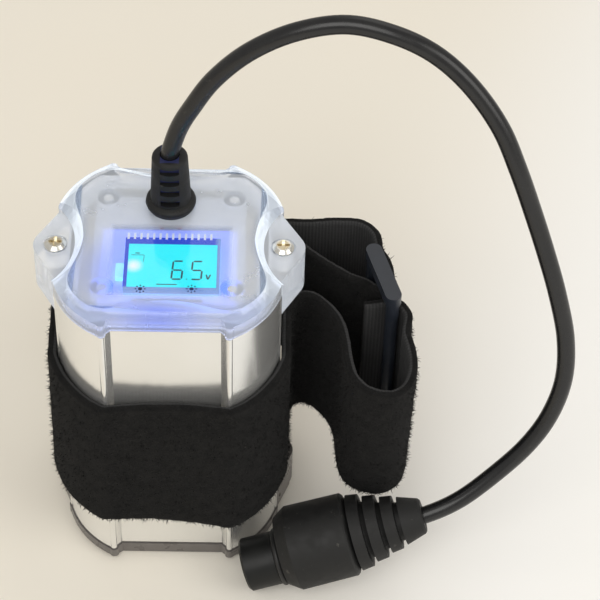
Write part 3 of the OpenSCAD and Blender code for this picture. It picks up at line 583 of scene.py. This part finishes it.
def plateau_rim_edges(shape):
    """Takes the plateau off a copy of the CAD cap, and gives the edges of its rim."""
    top = []
    for face in shape.faces:
        height = face.calc_center_median().z - CAP_TOP * MM
        if face.normal.z > FLAT_Z and abs(height) < LEVEL * MM:
            top.append(face)
    bmesh.ops.delete(shape, geom=top, context="FACES")
    rim = []
    for edge in shape.edges:
        middle = (edge.verts[0].co + edge.verts[1].co).xy / (2 * MM)
        if edge.is_boundary and (middle - RELIEF).length > RELIEF_R:
            rim.append(edge)
    return rim


def add_cap():
    """Moves the plateau's rim to its new edge, keeps the bevel outside it and closes the top again."""
    shape = bmesh.new()
    shape.from_mesh(nodes["top_cap"].data)
    bmesh.ops.remove_doubles(shape, verts=shape.verts, dist=MERGE * MM)
    rim = plateau_rim_edges(shape)
    moved = {v for edge in rim for v in edge.verts}
    for edge in rim:
        first = edge.verts[0]
        parts = math.ceil(edge.calc_length() / (RIM_STEP * MM))
        for left in range(parts, 1, -1):
            first = bmesh.utils.edge_split(edge, first, 1 / left)[1]
            moved.add(first)
    for v in moved:
        v.co.xy = to_plateau_edge(v.co.xy / MM, 0) * MM
    for v in shape.verts:
        drop = CAP_TOP - v.co.z / MM
        out = BEVEL_OUT * drop
        if BEVEL_FROM < drop < BEVEL_TO and -plateau_depth(v.co.xy / MM) < out:
            v.co.xy = to_plateau_edge(v.co.xy / MM, out) * MM
    bmesh.ops.triangulate(shape, faces=[face for face in shape.faces if len(face.verts) > 3])
    open_edges = [edge for edge in shape.edges if edge.is_boundary]
    bmesh.ops.triangle_fill(shape, use_beauty=True, edges=open_edges, normal=(0, 0, 1))
    shape.normal_update()
    for edge in shape.edges:
        edge.smooth = edge.calc_face_angle(0) < CAP_CREASE
    for edge in open_edges:
        edge.smooth = False
    mesh = bpy.data.meshes.new("cap_shell")
    shape.to_mesh(mesh)
    shape.free()
    mesh.polygons.foreach_set("use_smooth", [True] * len(mesh.polygons))
    piece = bpy.data.objects.new("cap_shell", mesh)
    bpy.context.scene.collection.objects.link(piece)
    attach(piece, "pack")
    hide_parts("top_cap")
    return piece


cap = add_cap()


# Finishes

# The range that most of a noise lies in, and the sockets of a Mix node that mixes colours
NOISE_SPAN = (0.3, 0.7)
MIX_SHARE, MIX_A, MIX_B, MIX_RESULT = 0, 6, 7, 2


class Finish:
    """A procedural material: one Principled shader and the nodes that feed it."""

    def __init__(self, name, color, roughness=0.5, **sockets):
        self.material = bpy.data.materials.new(name)
        self.material.use_nodes = True
        self.tree = self.material.node_tree
        self.shader = self.tree.nodes["Principled BSDF"]
        self.color = color
        self.shader.inputs["Base Color"].default_value = (*color, 1)
        self.shader.inputs["Roughness"].default_value = roughness
        for socket, value in sockets.items():
            self.shader.inputs[socket.replace("_", " ")].default_value = value
        self.normal = None

    def add(self, kind, values=None, **settings):
        """A shader node with its settings, and with values or links on its sockets."""
        node = self.tree.nodes.new("ShaderNode" + kind)
        for key, value in settings.items():
            setattr(node, key, value)
        for key, value in (values or {}).items():
            if isinstance(value, bpy.types.NodeSocket):
                self.tree.links.new(value, node.inputs[key])
            else:
                node.inputs[key].default_value = value
        return node

    def place(self, stretch=(1, 1, 1)):
        """The place on the piece, with its axes stretched."""
        spot = self.add("TexCoord").outputs["Object"]
        return self.add("Mapping", {"Vector": spot, "Scale": stretch}).outputs["Vector"]

    def noise(self, scale, detail=3.0, stretch=(1, 1, 1), roughness=0.55):
        where = self.place(stretch)
        return self.add("TexNoise", {"Vector": where, "Scale": scale, "Detail": detail,
                                     "Roughness": roughness}).outputs["Fac"]

    def math(self, operation, a, b=0.0):
        return self.add("Math", {0: a, 1: b}, operation=operation).outputs[0]

    def span(self, value, low, high, to_low=0.0, to_high=1.0, smooth=False):
        """Maps one range to another, and holds its ends."""
        kind = "SMOOTHSTEP" if smooth else "LINEAR"
        values = {"Value": value, "From Min": low, "From Max": high, "To Min": to_low, "To Max": to_high}
        return self.add("MapRange", values, interpolation_type=kind).outputs["Result"]

    def mix(self, share, a, b):
        """A colour between a and b."""
        node = self.add("Mix", data_type="RGBA")
        for index, value in ((MIX_SHARE, share), (MIX_A, a), (MIX_B, b)):
            socket = node.inputs[index]
            if isinstance(value, bpy.types.NodeSocket):
                self.tree.links.new(value, socket)
            else:
                socket.default_value = (*value, 1) if isinstance(value, tuple) else value
        return node.outputs[MIX_RESULT]

    def feed(self, socket, value):
        """Links a value to a socket of the shader."""
        self.tree.links.new(value, self.shader.inputs[socket])
        return self

    def mix_value(self, share, a, b):
        """A value between a and b."""
        rest = self.math("MULTIPLY", a, self.math("SUBTRACT", 1.0, share))
        return self.math("ADD", rest, self.math("MULTIPLY", share, b))

    def tint(self, share, other):
        """Varies the colour towards another one."""
        link = self.shader.inputs["Base Color"].links
        base = link[0].from_socket if link else self.color
        return self.feed("Base Color", self.mix(share, base, other))

    def vary_roughness(self, value, low, high):
        return self.feed("Roughness", self.span(value, *NOISE_SPAN, low, high))

    def bump(self, height, strength, depth_mm):
        """Lays a relief over those laid before."""
        values = {"Height": height, "Strength": strength, "Distance": depth_mm * MM}
        if self.normal:
            values["Normal"] = self.normal
        self.normal = self.add("Bump", values).outputs["Normal"]
        return self.feed("Normal", self.normal)

    def axis(self, letter):
        """One coordinate of the place on the piece."""
        spot = self.add("TexCoord").outputs["Object"]
        return self.add("SeparateXYZ", {0: spot}).outputs[letter]

    def rise(self, letter, start, end, *to):
        """Runs from 0 to 1, or between other values, between two places of an axis in millimetres."""
        return self.span(self.axis(letter), start * MM, end * MM, *to)

    def inside(self, x0, x1, y0, y1, soft):
        """1 inside a rectangle of the plan in millimetres, falling to 0 over a soft border round it."""
        far = None
        for letter, low, high in (("X", x0, x1), ("Y", y0, y1)):
            off = self.math("ABSOLUTE", self.math("SUBTRACT", self.axis(letter), (low + high) / 2 * MM))
            off = self.math("SUBTRACT", off, (high - low) / 2 * MM)
            far = off if far is None else self.math("MAXIMUM", far, off)
        return self.span(far, 0, soft * MM, 1, 0, smooth=True)

    def near(self, x, y, radius):
        """1 at a point of the plan, falling to 0 at the radius, in millimetres."""
        away = self.away(self.axis("X"), self.axis("Y"), x, y)
        return self.span(away, 0, radius * MM, 1, 0, smooth=True)

    def away(self, x, y, to_x, to_y):
        """Distance of the place x, y to a point of the plan in millimetres."""
        dx, dy = self.math("SUBTRACT", x, to_x * MM), self.math("SUBTRACT", y, to_y * MM)
        squares = self.math("ADD", self.math("MULTIPLY", dx, dx), self.math("MULTIPLY", dy, dy))
        return self.math("SQRT", squares)


def paint(finish, *targets):
    """Gives a finish to pieces, or to nodes by name."""
    for target in targets:
        piece = nodes[target] if isinstance(target, str) else target
        if not piece.material_slots:
            piece.data.materials.append(finish.material)
        for slot in piece.material_slots:
            slot.material = finish.material


# Width of the band of painted grey shade along the edge of the cap's plateau, and the screws' distance
# from the middle
RIM_W = 1.7
SCREW_X = 22.8

# The lit display: window, clear part of the cap and lit part of the board in plan, and colours
WINDOW = (-7.9, 9.6, -12.3, -0.7)
CLEAR = (-10.5, 11.5, -14.5, 2.5)
GLOW = (-13, 13, -14.4, 4.9)
# Middle and radius of the painted light round the LED on the cap, of the painted streak of its light at
# the front, and of the display's brightest spot
LED_SPOT, STREAK_SPOT, HOT_SPOT = (-9, -9, 15), (-1.5, -20, 13), (-6.8, -6.6, 2.4)
CYAN, DEEP_BLUE, RIM_BLUE = (0.004, 0.95, 1.0), (0.0, 0.05, 0.9), (0.3, 0.5, 1.0)
GLOW_BLUE = (0.12, 0.21, 1.0)

# The inside of the strain relief's slots in plan, where a blue reflection of the display's light is
# painted
RELIEF_SLOTS = (-1.85, 1.85, 7.05, 12.15)


def anodised():
    """Satin aluminium with fine lines along the extrusion."""
    f = Finish("anodised", (0.88, 0.88, 0.87), 0.2, Metallic=0.82)
    grain = f.noise(9000, 2)
    lines = f.noise(900, 4, stretch=(1, 1, 0.012))
    smudge = f.noise(60, 4)
    f.tint(f.span(smudge, 0.35, 0.75), (0.835, 0.835, 0.815))
    f.vary_roughness(smudge, 0.17, 0.23)
    f.bump(grain, 0.3, 0.015)
    f.bump(lines, 0.12, 0.008)
    return f


def plateau_rim(f):
    """1 along the edge of the cap's plateau, falling to 0 a little way in: where grey shade is painted.
    """
    x, y = [f.math("ABSOLUTE", f.axis(letter)) for letter in "XY"]

    def softer(a, b):
        return f.add("Math", {0: a, 1: b, 2: PLATEAU_BLEND * MM}, operation="SMOOTH_MIN").outputs[0]

    lobe = f.math("SUBTRACT", PLATEAU_R * MM, f.away(x, y, *LOBE_C))
    panel = f.math("SUBTRACT", f.away(x, y, 0, PANEL_Y + PANEL_R), PANEL_R * MM)
    hollow = f.math("SUBTRACT", f.away(x, y, HOLLOW_X, 0), HOLLOW_R * MM)
    edge = softer(softer(lobe, panel), hollow)
    return f.span(edge, 0, RIM_W * MM, 1, 0, smooth=True)


def frosted():
    """Frosted plastic: clear over the display, with painted blue light from the LED inside, a faint
    painted glow, painted white highlights on the bevels that face the sides and back, and painted grey
    shade on the front bevels and along the plateau's edge.
    """
    f = Finish("frosted_clear", (0.93, 0.94, 0.97), 0.2, IOR=1.5)
    window = f.inside(*CLEAR, 1.5)
    cloudy = f.span(window, 0, 1, 1, 0)
    haze = f.noise(240, 5)
    normal = f.add("SeparateXYZ", {0: f.add("NewGeometry").outputs["True Normal"]}).outputs
    bevel = f.math("MULTIPLY", f.span(normal["Z"], 0.3, 0.6), f.span(normal["Z"], 0.965, 0.985, 1, 0))
    turned = f.math("ADD", f.math("ABSOLUTE", normal["X"]), normal["Y"])
    # Painted highlight, white and glowing, on the bevels that face the sides and the back; painted shade
    # on the bevels that face the front
    painted_edge_highlight = f.math("MULTIPLY", bevel, f.span(turned, 0.0, 0.5, 0.1, 1.0))
    painted_edge_shade = f.math("MULTIPLY", bevel, f.span(turned, 0.0, 0.5, 1.0, 0.0))
    # Painted light from the LED: a blue pool round it and a streak on the front of the skirt, tinted
    # into the colour and glowing
    led = f.near(*LED_SPOT)
    ahead = f.rise("Y", -14, -19)
    front = f.math("MULTIPLY", ahead, f.rise("Z", 70, 73))
    streak = f.math("MULTIPLY", front, f.span(f.near(*STREAK_SPOT), 0, 1, 0.35, 0.95))
    blue = f.math("MAXIMUM", f.math("MULTIPLY", led, 0.75), streak)
    f.tint(f.span(haze, 0.3, 0.75), (0.87, 0.885, 0.94))
    f.tint(f.math("MULTIPLY", blue, cloudy), (0.47, 0.55, 0.86))
    # Painted shade on the bevels that face the front
    f.tint(f.math("MULTIPLY", painted_edge_shade, 0.8), (0.6, 0.66, 0.84))
    # Painted shade: a grey band just inside the edge of the flat plateau
    level = f.rise("Z", CAP_TOP - 0.7, CAP_TOP - 0.2)
    flat = f.math("MULTIPLY", f.span(normal["Z"], 0.985, 0.995), level)
    rim = f.math("MULTIPLY", plateau_rim(f), flat)
    f.tint(f.math("MULTIPLY", rim, 0.65), (0.47, 0.51, 0.62))
    f.feed("Transmission Weight", f.span(window, 0, 1, 0.7, 0.97))
    f.feed("Roughness", f.mix_value(window, f.span(haze, *NOISE_SPAN, 0.18, 0.28), 0.03))
    f.feed("Emission Color", f.mix(blue, (0.78, 0.89, 1.0), GLOW_BLUE))
    glow = f.math("ADD", f.math("MULTIPLY", painted_edge_highlight, 0.45), f.math("MULTIPLY", blue, 0.12))
    # A faint painted glow over all the cloudy plastic, a little stronger along the plateau's edge
    glow = f.math("ADD", glow, f.span(rim, 0, 1, 0.075, 0.1))
    f.feed("Emission Strength", f.math("MULTIPLY", glow, cloudy))
    f.bump(f.noise(1400, 3), 0.05, 0.02)
    return f


def lower_cap_painted_shade():
    """The lower cap's clear plastic, with its own shade painted in as a dark grey-brown colour."""
    f = Finish("smoked_clear", (0.13, 0.119, 0.112), 0.3, IOR=1.5, Transmission_Weight=0.06)
    haze = f.noise(260, 4)
    f.tint(f.span(haze, *NOISE_SPAN), (0.165, 0.152, 0.144))
    f.vary_roughness(haze, 0.22, 0.4)
    f.bump(f.noise(1500, 2), 0.08, 0.02)
    return f


def lcd():
    """Glass of the display: a cyan window with a blue border."""
    f = Finish("lcd", (0.01, 0.05, 0.12), 0.08, IOR=1.5)
    window = f.inside(*WINDOW, 0.12)
    hot = f.near(*HOT_SPOT)
    falloff = f.rise("X", -8, 9, 0.08, 0.0)
    lit = f.mix(falloff, CYAN, (0.25, 0.95, 1.0))
    lit = f.mix(hot, lit, (0.95, 1.0, 1.0))
    lit = f.mix(f.span(f.noise(900, 2), 0.4, 0.7, 0, 0.08), lit, (0.0, 0.7, 0.85))
    right, low = f.rise("X", 9, 10), f.rise("Y", -12, -12.6)
    rim = f.mix(f.math("MAXIMUM", right, low), DEEP_BLUE, RIM_BLUE)
    f.feed("Emission Color", f.mix(window, rim, lit))
    f.feed("Emission Strength", f.span(window, 0, 1, 0.7, 1.1))
    return f


def plain(name, color, other, roughness, grain, bump, **sockets):
    """A moulded or coated surface: two close colours in patches, and a fine grain of that scale."""
    f = Finish(name, color, roughness, **sockets)
    patch = f.noise(grain / 12, 4)
    f.tint(f.span(patch, *NOISE_SPAN), other)
    f.vary_roughness(patch, roughness * 0.85, min(1.0, roughness * 1.2))
    f.bump(f.noise(grain, 2), bump, 0.03)
    return f


def soft_black():
    """Matt moulded black, with dust, and a painted blue reflection of the display's light in the strain
    relief's slots.
    """
    f = plain("soft_black", (0.008, 0.008, 0.008), (0.012, 0.012, 0.0115), 0.6, 5000, 0.35,
              Specular_IOR_Level=0.35)
    # Painted reflection: blue from the display, tinted into the slots of the strain relief
    f.tint(f.inside(*RELIEF_SLOTS, 0.05), (0.016, 0.02, 0.075))
    f.tint(f.span(f.noise(700, 6), 0.66, 0.74, 0, 0.5), (0.1, 0.095, 0.085))
    return f


def lead_black():
    """Smooth jacket, with a little dust."""
    f = plain("lead_black", (0.008, 0.008, 0.009), (0.012, 0.012, 0.012), 0.26, 3000, 0.06,
              Specular_IOR_Level=0.45)
    f.tint(f.span(f.noise(500, 5), 0.68, 0.76, 0, 0.4), (0.07, 0.065, 0.06))
    return f


WEAVE_RIB, WEAVE_PICK = 0.7, 0.45


def strap_pile():
    """Looped pile on the tape's outer face, ribbed weave on its inner face, told apart by the UV. The
    weave's lighter grey is partly its own tone and partly painted light that lifts the shade the inner
    face lies in.
    """
    f = Finish("strap_pile", (0.009, 0.009, 0.009), 1.0, Sheen_Weight=0.03, Sheen_Roughness=0.5,
               Specular_IOR_Level=0.06)
    clumps = f.noise(420, 4)
    loops = f.noise(2600, 4, roughness=0.7)
    f.tint(f.span(clumps, 0.35, 0.7), (0.0135, 0.0132, 0.013))
    f.tint(f.span(loops, 0.5, 0.75, 0, 0.8), (0.024, 0.0235, 0.023))
    f.tint(f.span(f.noise(1100, 2), 0.76, 0.82, 0, 0.6), (0.1, 0.09, 0.08))
    spot = f.add("SeparateXYZ", {0: f.add("TexCoord").outputs["UV"]}).outputs
    inner = f.span(spot["Y"], 1.4 * STRAP_W * MM, 1.6 * STRAP_W * MM)
    rib = f.math("SINE", f.math("MULTIPLY", spot["X"], math.tau / (WEAVE_RIB * MM)))
    pick = f.math("SINE", f.math("MULTIPLY", spot["Y"], math.tau / (WEAVE_PICK * MM)))
    weave = f.span(f.math("ADD", rib, f.math("MULTIPLY", pick, 0.5)), -1.5, 1.5)
    # The inner face's lighter grey is partly the weave's own tone and partly painted light lifting the
    # shade it lies in
    f.tint(inner, f.mix(weave, (0.03, 0.03, 0.0305), (0.05, 0.05, 0.051)))
    pile = f.math("MULTIPLY", loops, f.math("SUBTRACT", 1.0, inner))
    f.bump(f.math("ADD", pile, f.math("MULTIPLY", weave, f.math("MULTIPLY", inner, 0.25))), 1.0, 0.3)
    f.bump(clumps, 0.4, 0.25)
    return f


def ring_black():
    """Moulded black of the ring, scuffed, tinted blue-grey as a painted reflection."""
    # Painted reflection: the black is tinted blue-grey for the sheen the ring's top shows
    f = plain("ring_black", (0.016, 0.02, 0.029), (0.026, 0.031, 0.041), 0.36, 2500, 0.06)
    f.tint(f.span(f.noise(400, 5), 0.62, 0.75, 0, 0.35), (0.09, 0.08, 0.065))
    return f


def metal(name, color, roughness, grain):
    """Bare or plated metal in patches of two shades."""
    f = Finish(name, color, roughness, Metallic=1.0)
    patch = f.noise(grain / 6, 4)
    f.tint(f.span(patch, *NOISE_SPAN), tuple(c * 0.8 for c in color))
    f.vary_roughness(patch, roughness * 0.8, roughness * 1.3)
    f.bump(f.noise(grain, 2), 0.15, 0.01)
    return f


def board_mask():
    """The pale board, with tracks, lit blue round the display."""
    f = Finish("board_mask", (0.72, 0.75, 0.8), 0.4)
    tracks = f.add("TexBrick", {"Vector": f.place(), "Scale": 420.0, "Mortar Size": 0.012,
                                "Color1": (0, 0, 0, 1), "Color2": (0, 0, 0, 1), "Mortar": (1, 1, 1, 1)})
    f.tint(tracks.outputs["Color"], (0.6, 0.64, 0.72))
    f.shader.inputs["Emission Color"].default_value = (*GLOW_BLUE, 1)
    f.feed("Emission Strength", f.math("MULTIPLY", f.inside(*GLOW, 1.0), 0.8))
    f.bump(tracks.outputs["Fac"], 0.2, 0.05)
    return f


def glowing(name, color, glow, strength):
    """A part that is lit from inside."""
    f = Finish(name, color, 0.3)
    f.shader.inputs["Emission Color"].default_value = (*glow, 1)
    f.feed("Emission Strength", f.span(f.noise(600, 2), *NOISE_SPAN, strength * 0.85, strength))
    return f


def screw_steel():
    """Plated screws, with painted shade in their sockets."""
    f = metal("screw_steel", (0.86, 0.84, 0.78), 0.22, 4000)
    # Painted shade: a darker, brownish tone in the middle of each head, where the socket lies
    for side in (-1, 1):
        f.tint(f.span(f.near(side * SCREW_X, 0, 2.0), 0.2, 0.5), (0.66, 0.58, 0.42))
    return f


paint(anodised(), "case_extrusion")
paint(frosted(), cap)
# The lower cap: its shade is painted into the plastic's colour
paint(lower_cap_painted_shade(), "bottom_cap")
paint(plain("clear_silicone", (0.55, 0.55, 0.54), (0.6, 0.6, 0.58), 0.45, 2000, 0.1),
      "top_gasket", "bottom_gasket")
paint(screw_steel(), "top_screws", "bottom_screws", "board_screws")
paint(plain("cell_wrap", (0.02, 0.2, 0.18), (0.03, 0.25, 0.22), 0.3, 1500, 0.05),
      "cell_1", "cell_2", "cell_3", "cell_4")
paint(plain("sleeve_blue", (0.01, 0.04, 0.3), (0.015, 0.06, 0.36), 0.25, 1200, 0.08), "pack_sleeve")
paint(metal("nickel", (0.7, 0.69, 0.65), 0.22, 3000), "positive_strip", "negative_strip", "series_strip")
paint(plain("card", (0.5, 0.42, 0.24), (0.56, 0.48, 0.3), 0.8, 3000, 0.2), "insulator_card")
paint(plain("foam", (0.05, 0.05, 0.05), (0.07, 0.07, 0.07), 0.95, 1800, 0.6), "foam_pad")
paint(board_mask(), "display_board")
paint(plain("chip_black", (0.012, 0.012, 0.012), (0.02, 0.02, 0.02), 0.5, 4000, 0.2), "board_parts")
paint(glowing("light_plate", (0.5, 0.8, 1.0), (0.05, 0.35, 1.0), 0.7), "backlight_plate")
paint(glowing("led_white", (0.8, 0.9, 1.0), (0.1, 0.6, 1.0), 1.2), "backlight_led")
paint(lcd(), "lcd_glass")
# LCD pins: tin, with a painted glow for the light they catch
paint(plain("pin_tin", (0.88, 0.9, 0.95), (0.96, 0.97, 1.0), 0.4, 4000, 0.1, Metallic=0.3,
            Emission_Color=(0.85, 0.92, 1.0, 1), Emission_Strength=0.4), "lcd_pins")
paint(metal("pad_copper", (0.75, 0.5, 0.3), 0.3, 3000), "touch_pad")
paint(soft_black(), "strain_relief", "plug_boot")
paint(plain("core_wire", (0.25, 0.02, 0.015), (0.3, 0.03, 0.02), 0.4, 2500, 0.1), "lead_cores")
paint(plain("plug_hard", (0.005, 0.0055, 0.0055), (0.008, 0.0085, 0.008), 0.45, 2500, 0.08,
            Specular_IOR_Level=0.3), "plug_insert")
paint(metal("contact_brass", (0.78, 0.57, 0.22), 0.22, 3000), "plug_pin", "plug_leaf")
paint(plain("seal_rubber", (0.008, 0.008, 0.008), (0.014, 0.014, 0.014), 0.5, 2500, 0.1), "plug_seal")
paint(ring_black(), "strap_ring")
paint(lead_black(), lead)
paint(strap_pile(), strap)
paint(plain("fuzz", (0.014, 0.014, 0.0138), (0.024, 0.0235, 0.023), 0.9, 3000, 0.1,
            Specular_IOR_Level=0.1), fuzz)
paint(plain("thread", (0.02, 0.02, 0.021), (0.03, 0.03, 0.031), 0.5, 3000, 0.2), stitches)
paint(plain("segment_ink", (0.004, 0.03, 0.05), (0.006, 0.045, 0.07), 0.5, 3000, 0.05,
            Emission_Color=(0.0, 0.1, 0.15, 1), Emission_Strength=0.4), segments)
paint(plain("mark_ink", (0.01, 0.015, 0.08), (0.015, 0.02, 0.11), 0.5, 3000, 0.05), marks)


# Stage: pale floor with painted light that makes it whiter towards the right, and soft light

FLOOR_HALF = 3000
PAINTED_LIGHT_WAY, PAINTED_LIGHT_FROM, PAINTED_LIGHT_TO = -0.35, 0, 90
WORLD_COLOR, WORLD_STRENGTH = (1.0, 0.975, 0.93, 1), 0.56
LAMP_AIM = Vector((0.02, 0, 0.04))
# Name, place, size, power and colour of each lamp
LAMPS = (
    ("key", (-0.2, -0.8, 0.95), 0.8, 5.8, (1.0, 0.985, 0.955)),
    ("side", (0.75, -0.45, 0.55), 0.6, 2.7, (1.0, 0.98, 0.95)),
    ("fill", (0.3, 0.6, 0.8), 0.6, 0.8, (1.0, 0.97, 0.92)),
)


def add_floor():
    corners = [(x * FLOOR_HALF, y * FLOOR_HALF, 0) for x, y in ((-1, -1), (1, -1), (1, 1), (-1, 1))]
    floor = new_mesh("floor", corners, [(0, 1, 2, 3)])
    f = Finish("floor", (0.9, 0.84, 0.73), 0.8)
    f.tint(f.span(f.noise(8, 3), *NOISE_SPAN), (0.89, 0.845, 0.75))
    # Painted light: the floor turns whiter towards the right
    across = f.math("ADD", f.axis("X"), f.math("MULTIPLY", f.axis("Y"), PAINTED_LIGHT_WAY))
    f.tint(f.span(across, PAINTED_LIGHT_FROM * MM, PAINTED_LIGHT_TO * MM, smooth=True), (0.98, 0.97, 0.945))
    paint(f, floor)


def add_lamp(name, place, size, power, color):
    data = bpy.data.lights.new(name, "AREA")
    data.size = size
    data.energy = power
    data.color = color
    lamp = bpy.data.objects.new(name, data)
    lamp.location = place
    lamp.rotation_euler = (LAMP_AIM - Vector(place)).to_track_quat("-Z", "Y").to_euler()
    bpy.context.scene.collection.objects.link(lamp)


def add_world():
    world = bpy.data.worlds.new("world")
    world.use_nodes = True
    back = world.node_tree.nodes["Background"]
    back.inputs["Color"].default_value = WORLD_COLOR
    back.inputs["Strength"].default_value = WORLD_STRENGTH
    bpy.context.scene.world = world


add_floor()
add_world()
for lamp in LAMPS:
    add_lamp(*lamp)
bpy.context.scene.view_settings.view_transform = "Standard"
